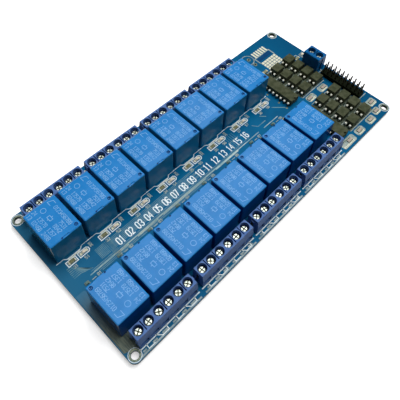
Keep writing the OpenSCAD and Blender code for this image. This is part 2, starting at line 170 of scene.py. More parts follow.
def along(finish, axis, low, high):
    """0 to 1 between two places in mm along an axis of the part."""
    place = add(finish, "TexCoord")
    parts = add(finish, "SeparateXYZ")
    join(finish, place.outputs["Object"], parts.inputs["Vector"])
    return between(finish, parts.outputs[axis], low * MM, high * MM)


def facing_up(finish):
    """1 on level faces, on top or underneath, and 0 on upright ones."""
    face = add(finish, "NewGeometry")
    parts = add(finish, "SeparateXYZ")
    join(finish, face.outputs["True Normal"], parts.inputs["Vector"])
    flatness = add(finish, "Math", operation="ABSOLUTE")
    join(finish, parts.outputs["Z"], flatness.inputs[0])
    return between(finish, flatness.outputs[0], 0.4, 0.6)


mask_finish, mask_surface = new_finish("solder_mask_over_laminate", 0.34)
mask_tone = blend(mask_finish, between(mask_finish, cloud(mask_finish, 9.0), 0.35, 0.65),
                  MASK_SHADE, MASK_BLUE)
mask_tone = blend(mask_finish, along(mask_finish, "X", 52, 92), mask_tone, MASK_DEEP)
# Greyer towards the low-X end: painted glare of the lamp on the glossy mask
mask_tone = blend(mask_finish, along(mask_finish, "X", -96, -60), MASK_GLARE_GREY, mask_tone)
edge_tone = blend(mask_finish, facing_up(mask_finish), LAMINATE_EDGE, mask_tone)
join(mask_finish, edge_tone, mask_surface.inputs["Base Color"])
grain(mask_finish, mask_surface, 0.5, 0.006)
dress("circuit_board", shine(mask_finish, MASK_SHINE))

# ---- Copper traces ----
# Copper foil, 0.035 mm thick, etched to tracks and then covered by the solder mask, so it
# shows as slightly raised and lighter lines. They run along the open middle of the board.

COPPER_LIFT = 0.035


class Sheet:
    """Flat shapes of one thickness, gathered into one mesh: etched copper, tin or ink."""

    def __init__(self, bottom, top):
        self.levels = (bottom, top)
        self.points, self.faces = [], []

    def plate(self, outline):
        """A closed prism on an outline that runs anticlockwise."""
        start, count = len(self.points), len(outline)
        for level in self.levels:
            self.points += [(x, y, level) for x, y in outline]
        self.faces.append([start + count + i for i in range(count)])
        self.faces.append([start + count - 1 - i for i in range(count)])
        for i in range(count):
            after = (i + 1) % count
            self.faces.append([start + i, start + after, start + count + after, start + count + i])

    def bar(self, x, y, width, height, turn=0.0):
        """A rectangle about its middle, turned by some degrees."""
        c, s = math.cos(math.radians(turn)), math.sin(math.radians(turn))
        corners = [(-width / 2, -height / 2), (width / 2, -height / 2),
                   (width / 2, height / 2), (-width / 2, height / 2)]
        self.plate([(x + u * c - v * s, y + u * s + v * c) for u, v in corners])

    def disc(self, x, y, radius, sides=16):
        turns = [2 * math.pi * i / sides for i in range(sides)]
        self.plate([(x + radius * math.cos(t), y + radius * math.sin(t)) for t in turns])

    def line(self, path, width, closed=False):
        """A line of even width along a path, with mitred corners."""
        path = [Vector(p) for p in path]
        count = len(path)
        start = len(self.points)
        for i, here in enumerate(path):
            ways = []
            if closed or i > 0:
                ways.append((here - path[i - 1]).normalized())
            if closed or i < count - 1:
                ways.append((path[(i + 1) % count] - here).normalized())
            heading = sum(ways, Vector((0, 0))).normalized()
            side = Vector((-heading.y, heading.x))
            reach = width / 2 / max(0.4, abs(side.dot(Vector((-ways[0].y, ways[0].x)))))
            for edge in (here + side * reach, here - side * reach):
                self.points += [(edge.x, edge.y, level) for level in self.levels]
        for i in range(count if closed else count - 1):
            a, b = start + 4 * i, start + 4 * ((i + 1) % count)
            self.faces += [[a + 1, a + 3, b + 3, b + 1], [a, b, b + 2, a + 2],
                           [a, a + 1, b + 1, b], [a + 2, b + 2, b + 3, a + 3]]
        if not closed:
            last = start + 4 * (count - 1)
            self.faces += [[start, start + 2, start + 3, start + 1],
                           [last, last + 1, last + 3, last + 2]]

    def ring(self, x, y, radius, width, sides=32):
        turns = [2 * math.pi * i / sides for i in range(sides)]
        self.line([(x + radius * math.cos(t), y + radius * math.sin(t)) for t in turns],
                  width, closed=True)

    def frame(self, x0, y0, x1, y1, width):
        self.line([(x0, y0), (x1, y0), (x1, y1), (x0, y1)], width, closed=True)

    def piece(self, name, finish, slot=None):
        return make_piece(name, self.points, self.faces, finish)


def make_piece(name, points, faces, finish):
    """A mesh from points in millimetres that rides on the board."""
    mesh = bpy.data.meshes.new(name)
    mesh.from_pydata([[part * MM for part in point] for point in points], [], faces)
    mesh.materials.append(finish)
    made = bpy.data.objects.new(name, mesh)
    bpy.context.scene.collection.objects.link(made)
    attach(made, "root")
    return made


def middle(node):
    """The middle of a part of the frame, in millimetres."""
    low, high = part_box(node)
    return (low + high) / 2 / MM


ROW = 8
RELAY_X = [middle(f"relay_cover_{i + 1:02d}").x for i in range(ROW)]
BOARD_END = BOARD_HIGH.x / MM
BOARD_SIDE = BOARD_HIGH.y / MM
trace_finish = shine(plastic("mask_over_copper", (52, 116, 142), (108, 148, 154), 0.3, patch=4.0),
                     0.2)
copper = Sheet(BOARD_TOP, BOARD_TOP + COPPER_LIFT)
# The coil supply along the relays, with the wide stretches that feed them
supply_finish = shine(plastic("mask_over_supply_copper", (112, 156, 166), (188, 206, 200), 0.3,
                              patch=5.0), 0.2)
supply = Sheet(BOARD_TOP, BOARD_TOP + COPPER_LIFT)
supply.line([(-80, -2.9), (26, -2.9)], 0.4)
for x0, x1 in ((-66, -60), (-55, -43), (-40, -13), (-6, 10)):
    supply.bar((x0 + x1) / 2, -3.35, x1 - x0, 0.5)
supply.line([(30, -3), (41, -3)], 0.4)
supply.piece("supply_copper", supply_finish, "board_laminate")
# Five fine tracks of different length beside it
for i, end_x in enumerate((20, 10, -6, -9, -12)):
    y = -1.8 - 0.68 * i
    copper.line([(-79 + i, y), (end_x, y)], 0.26)
# Control tracks that fan out from the low-X end
for i in range(7):
    y = 5.6 - 0.85 * i
    copper.line([(-85.6, y), (-84 + 0.3 * i, y), (-79 + 0.3 * i, y - 5.2 + 0.6 * i)], 0.28)
for i in range(9):
    copper.line([(-72.2, 4.4 - 0.62 * i), (-67.4, 4.4 - 0.62 * i)], 0.26)
for i in range(8):
    copper.line([(-66.5, 4.2 - 0.66 * i), (-8 - 6 * (i % 3), 4.2 - 0.66 * i)], 0.28)
for i in range(5):
    copper.line([(-67 + 0.6 * i, 4.6), (-67 + 0.6 * i, -4.6)], 0.24)
copper.line([(26.5, 2.2), (28.5, -0.4), (34.2, -0.4)], 0.4)
copper.line([(34, 3.6), (36.6, 1)], 0.4)
copper.line([(43.3, 3), (48.7, -2.1)], 0.4)
copper.line([(9.5, 2.6), (16.5, 2.6)], 0.3)
for i in range(5):
    copper.line([(10.4 + 1.2 * i, -2.6), (10.4 + 1.2 * i, 6.6)], 0.18)
copper.piece("copper_traces", trace_finish, "board_laminate")

# ---- Ground pour ----
# The same copper foil, left standing in one field at the low-X end and in rails along the
# front edge. It lies under the solder mask too, which looks greyer over it. The field's olive
# grey is partly painted glare, fading to blue towards the back, the rails' pale grey is partly
# painted glare too, and the dark field round the optocouplers is painted shade.

POUR_INSET = 0.4
POUR_OLIVE_AND_GLARE = ((70, 88, 82), (112, 122, 106))
POUR_BLUE = (34, 104, 138)
pour_finish, pour_surface = new_finish("mask_over_poured_copper_and_glare", 0.42)
pour_place = add(pour_finish, "TexCoord")
pour_turn = add(pour_finish, "Mapping")
pour_turn.inputs["Rotation"].default_value = (0, 0, math.radians(-52))
pour_turn.inputs["Scale"].default_value = (1, 0.12, 1)
pour_streaks = add(pour_finish, "TexNoise", scale=1 / (0.5 * MM), detail=3.0)
join(pour_finish, pour_place.outputs["Object"], pour_turn.inputs["Vector"])
join(pour_finish, pour_turn.outputs["Vector"], pour_streaks.inputs["Vector"])
# Olive grey streaks, partly painted glare, fading to blue towards the back where the glare ends
pour_and_glare_tone = blend(pour_finish, between(pour_finish, pour_streaks.outputs["Fac"], 0.4, 0.62),
                  *POUR_OLIVE_AND_GLARE)
pour_and_glare_tone = blend(pour_finish, along(pour_finish, "Y", -26, -7), pour_and_glare_tone, POUR_BLUE)
join(pour_finish, pour_and_glare_tone, pour_surface.inputs["Base Color"])
grain(pour_finish, pour_surface, 0.4, 0.01)
shine(pour_finish, 0.2)
pour = Sheet(BOARD_TOP, BOARD_TOP + COPPER_LIFT)
pour.plate([(-BOARD_END + POUR_INSET, -35.4), (-83, -38.4), (-83, -9), (-86, -6),
            (-BOARD_END + POUR_INSET, -6)])
pour.piece("poured_copper", pour_finish, "board_laminate")
# A dark olive field round the optocouplers, between their leads: painted shade, where the chips
# shade the board
chip_shade_finish = shine(plastic("painted_shade_round_chips", (34, 52, 44), (104, 112, 96), 0.4, patch=1.1),
                     0.1)
chip_shade_sheet = Sheet(BOARD_TOP, BOARD_TOP + COPPER_LIFT)
chip_shade_sheet.plate([(60.2, -4.0), (80.6, -4.0), (80.6, 14), (78.5, 20.6), (60.8, 20.6), (60.2, 18)])
chip_shade_sheet.plate([(60.2, -35.4), (81.4, -35.4), (81.4, -11.6), (60.2, -11.6)])
chip_shade_sheet.piece("chip_shade_field", chip_shade_finish, "board_laminate")
# Copper rails along the front edge under the mask; their pale grey is partly painted glare
rail_and_glare_finish = shine(plastic("mask_over_edge_rail_and_glare", (120, 142, 146), (178, 194, 194), 0.42,
                            patch=3.0), 0.2)
rail = Sheet(BOARD_TOP, BOARD_TOP + COPPER_LIFT)
for x0, x1 in ((-86, -54), (-51.5, -20.5), (-18.5, 12.5), (14.5, 47)):
    rail.bar((x0 + x1) / 2, -41.0, x1 - x0, 0.7)
    for step in range(6):
        rail.bar(x0 + 2.6 + 5.1 * step, -40.1, 1.7 + 0.5 * (step % 3), 0.7)
rail.piece("edge_rails", rail_and_glare_finish, "board_laminate")

# ---- White printing ----
# Epoxy ink, screen printed on the finished board: part outlines, plain channel numbers and
# the contact symbols beside the terminal blocks.

INK_LIFT = 0.05
FRONT_LINE = -38.95
WAYS = 6
WAY_PITCH = 5.08
HOLE_INSET = 3
HOLES = [(x * (BOARD_END - HOLE_INSET), y * (BOARD_SIDE - HOLE_INSET))
         for y in (-1, 1) for x in (-1, 1)]
OPTO_PITCH = 6.35
OPTO_PRINT_SPAN = 7.9
ink_finish = shine(plastic("white_board_ink", (224, 242, 246), (248, 254, 254), 0.6, patch=1.5),
                   0.1)
ink = Sheet(BOARD_TOP, BOARD_TOP + INK_LIFT)
thin_finish = shine(plastic("thin_board_ink", (132, 152, 152), (176, 186, 178), 0.6, patch=1.5),
                    0.1)
thin = Sheet(BOARD_TOP, BOARD_TOP + INK_LIFT)
NUMERALS = {
    "0": [[(1, 0), (3, 0), (4, 1), (4, 5), (3, 6), (1, 6), (0, 5), (0, 1), (1, 0)]],
    "1": [[(0.6, 5), (2, 6), (2, 0)], [(0.8, 0), (3.2, 0)]],
    "2": [[(0, 5), (1, 6), (3, 6), (4, 5), (4, 4), (0, 0), (4, 0)]],
    "3": [[(0, 5), (1, 6), (3, 6), (4, 5), (4, 4), (3, 3), (4, 2), (4, 1), (3, 0), (1, 0), (0, 1)],
          [(1.6, 3), (3, 3)]],
    "4": [[(3, 0), (3, 6), (0, 2), (4, 2)]],
    "5": [[(4, 6), (0, 6), (0, 3.5), (3, 3.5), (4, 2.5), (4, 1), (3, 0), (0, 0)]],
    "6": [[(4, 5), (3, 6), (1, 6), (0, 5), (0, 1), (1, 0), (3, 0), (4, 1), (4, 2.5), (3, 3.5),
           (0, 3.5)]],
    "7": [[(0, 6), (4, 6), (1.5, 0)]],
    "8": [[(1, 3), (0, 4), (0, 5), (1, 6), (3, 6), (4, 5), (4, 4), (3, 3), (4, 2), (4, 1), (3, 0),
           (1, 0), (0, 1), (0, 2), (1, 3), (3, 3)]],
    "9": [[(0, 1), (1, 0), (3, 0), (4, 1), (4, 5), (3, 6), (1, 6), (0, 5), (0, 3.5), (1, 2.5),
           (4, 2.5)]],
}


def number(sheet, value, x, y, height, width, turn=0.0, squeeze=1.0):
    """Plain figures about a middle point, turned by some degrees."""
    figures = str(value)
    c, s = math.cos(math.radians(turn)), math.sin(math.radians(turn))
    unit = height / 6
    for place, figure in enumerate(figures):
        left = (place - len(figures) / 2) * 5.4 + 0.7
        for stroke in NUMERALS[figure]:
            flat = [((left + u) * unit * squeeze, (v - 3) * unit) for u, v in stroke]
            sheet.line([(x + u * c - v * s, y + u * s + v * c) for u, v in flat], width)


# Channel numbers 1 to 16 in one line along the middle of the board
for i in range(16):
    number(ink, f"{i + 1:02d}", -61.3 + 5.36 * i, 0.55, 3.4, 0.48, squeeze=0.6)
for i, x in enumerate(RELAY_X):
    # Foot of the back relay, with a dip in the outline towards its resistor and its light
    ink.line([(x - 8.4, 10.2), (x - 4.9, 10.2), (x - 3.7, 9.2)], 0.34)
    ink.line([(x + 3.2, 9.2), (x + 4.2, 10.2), (x + 8.3, 10.2)], 0.34)
    ink.line([(x - 3.7, 9.15), (x + 3.2, 9.15)], 0.42)
    ink.frame(x - 5.2, 5.85, x - 0.4, 8.25, 0.42)
    ink.line([(x + 0.7, 8.25), (x + 0.7, 5.85), (x + 5.1, 5.85), (x + 5.8, 6.5), (x + 5.8, 7.6),
              (x + 5.1, 8.25)], 0.4, closed=True)
    number(thin, 31 + i, x - 2.9, 4.4, 1.2, 0.3)
    number(thin, 51 + i, x + 3.0, 4.4, 1.2, 0.3)
    number(thin, 301 + i, x + 7.3, 8.0, 1.1, 0.3, turn=90, squeeze=0.9)
    # Beside the front relay
    number(thin, 71 + i, x - 3.6, -4.7, 1.1, 0.3)
    number(thin, 81 + i, x + 2.2, -4.7, 1.1, 0.3)
    thin.line([(x - 1.6, -4.9), (x + 0.4, -4.9)], 0.3)
for side, row in ((-1, "front"), (1, "back")):
    for block in range(4):
        low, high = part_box(f"terminal_block_{row}_{block + 1}")
        start = low.x / MM if side < 0 else high.x / MM - WAYS * WAY_PITCH
        line_y = -side * FRONT_LINE
        ink.line([(start - 0.9, line_y), (start + WAYS * WAY_PITCH + 0.6, line_y)], 0.46)
        for relay in range(2):
            a, b, c = [start + (3 * relay + k + 0.5) * WAY_PITCH for k in range(3)]
            out = line_y + side * 1.75
            ink.line([(a, line_y - side * 0.3), (a, out), (a + 3, out)], 0.38)
            ink.line([(b - 0.3, line_y - side * 0.3), (b + 1.8, out), (c, out),
                      (c, line_y - side * 0.3)], 0.38)
            number(thin, 1 + 2 * block + relay, b - 0.9, out + side * 0.05, 0.8, 0.24)
# Control end: outlines and marks round the optocouplers, the driver chips and the arrays
for node in ("opto_leads_a", "opto_leads_b"):
    low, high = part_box(node)
    low, high = low / MM, high / MM
    for x in (low.x, high.x - OPTO_PRINT_SPAN):
        for k in range(4):
            y = low.y + OPTO_PITCH * k
            thin.line([(x - 0.9, y + 4.6), (x + 1.6, y + 4.6), (x + 2.2, y + 4.9)], 0.42)
            thin.line([(x + 3.2, y + 4.75), (x + 6.2, y + 4.75)], 0.4)
    thin.line([(low.x - 0.9, low.y - 1.1), (high.x, low.y - 1.1)], 0.5)
thin.ring(60.5, 34.6, 3.6, 0.4)
thin.line([(64.2, 28.0), (64.2, 32.5), (76.2, 32.5), (76.2, 28.0)], 0.6)
shaded = Sheet(BOARD_TOP, BOARD_TOP + INK_LIFT / 2)
shaded.plate([(65, 29.2), (75.3, 29.2), (75.3, 31.9), (65, 31.9)])
for x0, y0, x1, y1 in ((61.2, -9.4, 67.6, -5.4), (71.4, -9.4, 77.8, -5.4), (82.4, -34, 88.2, -29.6),
                       (79.3, -38.9, 84.6, -35.1), (71.6, -40.3, 77.8, -36.3),
                       (61.2, -40.3, 67.6, -36.3), (48.8, -40.4, 59.4, -36.2)):
    thin.plate([(x0 + 0.7, y0), (x1 - 0.7, y0), (x1, y0 + 0.8), (x1, y1 - 0.8), (x1 - 0.7, y1),
                (x0 + 0.7, y1), (x0, y1 - 0.8), (x0, y0 + 0.8)])
for x, y in ((82.5, 17.2), (87.4, 16.2), (83.9, 2.2)):
    thin.frame(x - 1.6, y - 1.3, x + 1.6, y + 1.3, 0.4)
thin.line([(81.2, -26.1), (88.6, -26.1)], 0.4)
for pin, y in ((1, -24.4), (20, -1.6)):
    number(thin, pin, 79.9, y, 1.2, 0.3)
for x, y in HOLES:
    ink.ring(x, y, 2.62, 0.26)
ink.piece("board_printing", ink_finish)
thin.piece("thin_printing", thin_finish)
deep_finish = shine(plastic("mask_over_bare_laminate", (0, 56, 104), (0, 70, 116), 0.4), 0.05)
shaded.piece("open_laminate", deep_finish, "board_laminate")

# ---- Tinned pads ----
# Bare copper with a thin coat of solder, where a part may be soldered: round the mounting
# holes, under the arrays, and on the places left free for a regulator and a capacitor.

TIN_LIFT = 0.06
tin_finish = metal("tinned_pad", (66, 74, 60), (112, 118, 102), 0.55, patch=0.8)
paste_finish = shine(plastic("bright_tinned_pad", (206, 208, 178), (244, 242, 222), 0.5, patch=0.6),
                     0.1)
tin = Sheet(BOARD_TOP, BOARD_TOP + TIN_LIFT)
for x, y in HOLES:
    tin.ring(x, y, 2.0, 0.6)
# The free regulator's tab, its solder paste printed in small fields, and its five legs
paste = Sheet(BOARD_TOP, BOARD_TOP + 1.5 * TIN_LIFT)
for i in range(6):
    for j in range(4):
        paste.bar(65.2 + 1.98 * i, 21.8 + 1.78 * j, 1.66, 1.46)
    paste.bar(66.0 + 1.8 * i, 34.7, 1.15, 4.0)
for x, y in ((61.3, 34.6), (61.3, 29.6), (56.2, 34.6)):
    tin.ring(x, y, 0.85, 0.5)
for x, y in ((48.7, 10.2), (48.8, 2.3), (49, -2.9)):
    tin.disc(x, y, 0.6)
for x in RELAY_X:
    for u in (-4.15, -1.4, 1.75, 4.65):
        paste.bar(x + u, 7.05, 1.0, 1.35)
    paste.bar(x - 0.4, 8.7, 6.0, 0.4)
for x, y in ((64.4, -7.34), (74.7, -7.34), (85.3, -31.9), (82, -37), (74.7, -38.2), (64.4, -38.2),
             (55.4, -38.2), (51.2, -38.2)):
    for k in range(4):
        paste.bar(x + (k - 1.5) * 1.05, y - 1.35, 0.7, 1.1)
        tin.bar(x + (k - 1.5) * 1.05, y + 1.2, 0.6, 0.9)
paste.piece("pasted_pads", paste_finish, "solder")
tin.piece("tinned_pads", tin_finish, "solder")

# ---- Relays ----
# Each relay is a sealed cube: a moulded blue cover clipped over a dark base, with its five
# leads soldered through the board. The cover's top carries rows of small pale printing.

PRINT_DEPTH = 0.03
PRINT_SUNK = 0.1
FIGURE_HEIGHT = 1.7
FIGURE_STROKE = 0.19
COVER_TOP = ((28, 127, 201), (42, 135, 209))
COVER_SIDE_SHADE = (0, 78, 152)
COVER_SIDE_BACK_BOUNCE = (30, 124, 166)
cover_finish, cover_surface = new_finish("relay_cover_blue", 0.14)
cover_tone = blend(cover_finish, between(cover_finish, cloud(cover_finish, 6.0), 0.35, 0.65),
                   *COVER_TOP)
# The upright sides are deeper than the tops: painted shade. The back row's are lighter than the
# front's: painted light, bounced up from the board between the rows
side_shade_and_bounce = blend(cover_finish, along(cover_finish, "Y", -8, 8), COVER_SIDE_SHADE, COVER_SIDE_BACK_BOUNCE)
join(cover_finish, blend(cover_finish, facing_up(cover_finish), side_shade_and_bounce, cover_tone),
     cover_surface.inputs["Base Color"])
grain(cover_finish, cover_surface, 0.25, 0.008)
shine(cover_finish, 0.1)
print_finish = shine(plastic("relay_printing", (120, 180, 234), (146, 196, 240), 0.5, patch=2.0),
                     0.16)
# Dark marks on the cover tops: painted shade standing in for the vent grooves
shade_finish = shine(plastic("groove_shade_paint", (0, 34, 88), (0, 44, 104), 0.5), 0.1)
printing = Sheet(0, 0)
groove_shades = Sheet(0, 0)
# Rows of figures, given by their distance across the cover and the middle of each along it
PRINT_ROWS = [(-5.7, -4.1, "2468"), (-5.7, 2.1, "02468"), (-5.7, 7.4, "13"),
              (-3.2, -4.1, "1357"), (-3.2, 2.1, "13579"), (-3.2, 7.4, "24"),
              (-0.5, -4.4, "8642"), (2.0, -4.5, "7531"), (4.6, -0.9, "0123456789")]
for i in range(1, 2 * ROW + 1):
    node = f"relay_cover_{i:02d}"
    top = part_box(node)[1].z / MM
    printing.levels = (top - PRINT_SUNK, top)
    groove_shades.levels = (top - PRINT_SUNK, top - 0.01)
    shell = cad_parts[node].data.copy()
    for vertex in shell.vertices:
        if vertex.co.z > (top - 0.001) * MM:
            vertex.co.z -= PRINT_DEPTH * MM
    shell.materials.clear()
    shell.materials.append(cover_finish)
    cover = bpy.data.objects.new(f"printed_cover_{i:02d}", shell)
    bpy.context.scene.collection.objects.link(cover)
    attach(cover, "root")
    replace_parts(cover, node)
    way = -1 if i <= ROW else 1
    centre = middle(node)
    for u, v, figures in PRINT_ROWS:
        number(printing, figures, centre.x + way * u, centre.y + way * v, FIGURE_HEIGHT,
               FIGURE_STROKE, turn=-90 * way, squeeze=0.72)
    # Plain marks: a ring, a small coil box with its two ends, and an open contact
    printing.ring(centre.x, centre.y + way * 6.0, 1.15, 0.2, sides=20)
    printing.frame(centre.x - 0.7, centre.y + way * 1.4 - 1.1,
                   centre.x + 0.7, centre.y + way * 1.4 + 1.1, 0.22)
    for end in (-1.35, 1.35):
        printing.bar(centre.x + end * 0.78, centre.y + way * 1.4, 0.7, 0.22)
    printing.line([(centre.x + way * 3.4, centre.y + way * 6.0),
                   (centre.x + way * 3.4, centre.y + way * 8.2),
                   (centre.x + way * 5.8, centre.y + way * 7.2),
                   (centre.x + way * 5.8, centre.y + way * 5.4)], 0.22)
    # Dark plates for the vent ring, its hole and a notch by the edge: painted shade for grooves
    groove_shades.ring(centre.x + way * 6.0, centre.y - way * 7.9, 0.72, 0.26, sides=20)
    groove_shades.disc(centre.x + way * 6.0, centre.y - way * 7.9, 0.24)
    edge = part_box(node)[0 if way > 0 else 1].y / MM
    groove_shades.bar(centre.x - way * 1.6, edge + way * 0.45, 0.7, 0.6)
printing.piece("relay_printing", print_finish)
groove_shades.piece("painted_groove_shades", shade_finish)
base_finish = plastic("relay_base_resin", (14, 26, 44), (20, 34, 54), 0.5)
lead_finish = metal("tinned_lead", (150, 150, 146), (205, 204, 198), 0.3)
for side in ("front", "back"):
    dress(f"relay_bases_{side}", base_finish)
    dress(f"relay_pins_{side}", lead_finish)

# ---- Screw terminals ----
# Blue moulded blocks, dovetailed together from two-way and three-way modules. In each way a
# plated screw draws a cage up against the wire.

block_finish = shine(plastic("terminal_block_blue", (74, 108, 166), (90, 124, 180), 0.42), 0.08)
screw_finish = metal("screw_plating", (132, 140, 130), (190, 198, 188), 0.42, patch=0.7)
# Darker face of the head at the bottom of the crossed slots: painted shade
slot_shade_finish = metal("screw_recess", (40, 40, 34), (66, 66, 56), 0.5, patch=0.6)
cage_finish = metal("clamp_cage_brass", (70, 70, 60), (104, 102, 84), 0.45)
SCREW_RADIUS = 1.52
SHANK_RADIUS = 1.25
LOBE_HEIGHT = 0.55
LOBE_GAP = 0.24
LOBE_INNER = 0.34
LOBE_BEVEL = (0.3, 0.22)
JOIN_DEPTH = 0.02
HEAD_HEIGHT = 1.9


class Turned:
    """Closed solids gathered into one mesh, each from rings of points laid one over another."""

    def __init__(self):
        self.points, self.faces, self.slots = [], [], []

    def stack(self, rings, slot=0):
        start, count = len(self.points), len(rings[0])
        for ring in rings:
            self.points += ring
        for level in range(len(rings) - 1):
            for i in range(count):
                a, b = start + level * count + i, start + level * count + (i + 1) % count
                self.faces.append([a, b, b + count, a + count])
        last = start + (len(rings) - 1) * count
        self.faces.append([start + count - 1 - i for i in range(count)])
        self.faces.append([last + i for i in range(count)])
        self.slots += [slot] * (count * (len(rings) - 1) + 2)

    def piece(self, name, finishes, slot):
        made = make_piece(name, self.points, self.faces, finishes[0])
        for finish in finishes[1:]:
            made.data.materials.append(finish)
        for face, which in zip(made.data.polygons, self.slots):
            face.material_index = which
        return made


def disc_ring(x, y, z, radius, sides=20):
    return [(x + radius * math.cos(2 * math.pi * i / sides),
             y + radius * math.sin(2 * math.pi * i / sides), z) for i in range(sides)]


def screw(turned, x, y, bottom, top, turn):
    """Shank, head and the four lobes that its crossed slots leave standing."""
    turned.stack([disc_ring(x, y, z, SHANK_RADIUS) for z in (bottom, top - HEAD_HEIGHT + 0.1)])
    # The head's face under the lobes takes the painted slot shade
    turned.stack([disc_ring(x, y, z, SCREW_RADIUS)
                  for z in (top - HEAD_HEIGHT, top - LOBE_HEIGHT)], slot=1)
    for quarter in range(4):
        rings = []
        for z, rim in ((top - LOBE_HEIGHT - JOIN_DEPTH, SCREW_RADIUS),
                       (top - LOBE_BEVEL[1], SCREW_RADIUS), (top, SCREW_RADIUS - LOBE_BEVEL[0])):
            corner = math.asin(LOBE_GAP / rim)
            flat = [(LOBE_INNER, LOBE_GAP)]
            for step in range(7):
                t = corner + (math.pi / 2 - 2 * corner) * step / 6
                flat.append((rim * math.cos(t), rim * math.sin(t)))
            flat.append((LOBE_GAP, LOBE_INNER))
            angle = math.radians(turn + 90 * quarter)
            rings.append([(x + u * math.cos(angle) - v * math.sin(angle),
                           y + u * math.sin(angle) + v * math.cos(angle), z) for u, v in flat])
        turned.stack(rings)


draw = random.Random(7)
for side in ("front", "back"):
    screws = Turned()
    low, high = [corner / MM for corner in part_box(f"terminal_screws_{side}")]
    axis_y = (low.y + high.y) / 2
    for i in range(1, 5):
        node = f"terminal_block_{side}_{i}"
        dress(node, block_finish)
        block_low, block_high = [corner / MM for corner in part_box(node)]
        start = block_low.x if side == "front" else block_high.x - WAYS * WAY_PITCH
        for way in range(WAYS):
            screw(screws, start + (way + 0.5) * WAY_PITCH, axis_y, low.z, high.z,
                  draw.uniform(0, 90))
    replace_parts(screws.piece(f"slotted_screws_{side}", [screw_finish, slot_shade_finish],
                             "screw_steel"), f"terminal_screws_{side}")
    dress(f"terminal_clamps_{side}", cage_finish)
    dress(f"terminal_pins_{side}", lead_finish)

# ---- Power terminal ----
# A taller two-way block of the same kind, moulded in a stronger blue plastic. It is soldered
# through the board at the control end and brings in the supply.

power_finish = shine(plastic("power_terminal_blue", (4, 88, 150), (14, 100, 160), 0.4), 0.06)
dress("power_terminal", power_finish)
low, high = [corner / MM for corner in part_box("power_screws")]
screws = Turned()
for way in (-0.5, 0.5):
    screw(screws, (low.x + high.x) / 2, (low.y + high.y) / 2 + way * WAY_PITCH, low.z, high.z, 20)
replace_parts(screws.piece("slotted_screws_power", [screw_finish, slot_shade_finish], "screw_steel"),
            "power_screws")
dress("power_clamps", cage_finish)
dress("power_pins", lead_finish)

# ---- Pin header ----
# Two rows of ten square plated pins, pressed through a black moulded strip and soldered
# through the board.

strip_finish = shine(plastic("header_strip_black", (6, 12, 2), (14, 20, 6), 0.5), 0.03)
# The plated pins are dark: painted shade
shaded_pin_finish = metal("header_pins_painted_shade", (34, 32, 24), (58, 54, 42), 0.45)
dress("header_housing", strip_finish)
dress("header_pins", shaded_pin_finish)

# ---- Optocouplers and driver chips ----
# Dual in-line packages of olive-black epoxy, moulded round a stamped lead frame. Their tinned
# leads bend down at the shoulder and are soldered through the board.

epoxy_finish = shine(plastic("chip_epoxy", (56, 62, 42), (78, 82, 62), 0.5, patch=2.2), 0.05)
for part in ("optocouplers_a", "optocouplers_b", "driver_chip_a", "driver_chip_b"):
    dress(part, epoxy_finish)
# The tinned leads are dark: painted shade round the chips
shaded_chip_lead_finish = shine(plastic("chip_lead_painted_shade", (56, 58, 46), (92, 94, 78), 0.4,
                                 patch=0.8), 0.3)
for part in ("opto_leads_a", "opto_leads_b", "driver_leads_a", "driver_leads_b"):
    dress(part, shaded_chip_lead_finish)

# Bright rounded beads where each lead bends down: a painted highlight on the shoulders
shoulder_highlight_finish = shine(plastic("lead_shoulder_highlight", (222, 224, 204), (254, 254, 244), 0.4,
                                patch=0.6), 0.3)
shoulder_highlights = Turned()
SHOULDER = ((0.4, 1.15), (0.66, 1.4), (0.7, 1.85), (0.62, 2.15), (0.4, 2.32))
SHOULDER_INSET = 0.24
LEAD_PITCH = 2.54
LEAD_SPAN = 7.86
FIRST_LEAD = 0.7
OPTO_LEADS = [OPTO_PITCH * chip + LEAD_PITCH * lead for chip in range(4) for lead in range(2)]
DRIVER_LEADS = [LEAD_PITCH * lead for lead in range(9)]
for part, places, columns in (("opto_leads", OPTO_LEADS, 2), ("driver_leads", DRIVER_LEADS, 1)):
    for group in ("a", "b"):
        low, high = [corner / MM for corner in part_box(f"{part}_{group}")]
        rows = [low.x + SHOULDER_INSET, low.x + LEAD_SPAN - SHOULDER_INSET,
                high.x - LEAD_SPAN + SHOULDER_INSET, high.x - SHOULDER_INSET]
        for x in rows[:2 * columns]:
            for place in places:
                y = low.y + FIRST_LEAD + place
                shoulder_highlights.stack([disc_ring(x, y, BOARD_TOP + z, radius, sides=12)
                                 for radius, z in SHOULDER])
shoulder_highlights.piece("painted_shoulder_highlights", [shoulder_highlight_finish], "tinned_leads")

# ---- Surface-mounted parts ----
# Chip resistors and resistor arrays of glazed ceramic, and moulded channel lights with pale
# lenses, soldered flat on tinned pads. Lights and solder beside the front relays are darker:
# painted shade.

resistor_finish = plastic("resistor_glaze", (66, 74, 40), (140, 140, 100), 0.35, patch=0.45)
array_finish = plastic("array_glaze", (140, 128, 118), (176, 162, 150), 0.4, patch=0.6)
light_finish, light_surface = new_finish("light_body", 0.4)
light_tone = blend(light_finish, cloud(light_finish, 3.0), (214, 214, 196), (244, 242, 226))
# Darker where Y is below -1 mm, beside the front relays: painted shade
join(light_finish, blend(light_finish, along(light_finish, "Y", -1, 1), (74, 104, 104), light_tone),
     light_surface.inputs["Base Color"])
shine(light_finish, 0.1)
lens_finish, lens_surface = new_finish("light_lens", 0.25)
lens_tone = blend(lens_finish, cloud(lens_finish, 1.0), (236, 214, 186), (252, 244, 226))
# Painted shade beside the front relays, as on the light's body
join(lens_finish, blend(lens_finish, along(lens_finish, "Y", -1, 1), (84, 116, 112), lens_tone),
     lens_surface.inputs["Base Color"])
shine(lens_finish, 0.1)
solder_finish, solder_surface = new_finish("solder", 0.4)
solder_tone = blend(solder_finish, cloud(solder_finish, 1.0), (206, 206, 180), (246, 244, 226))
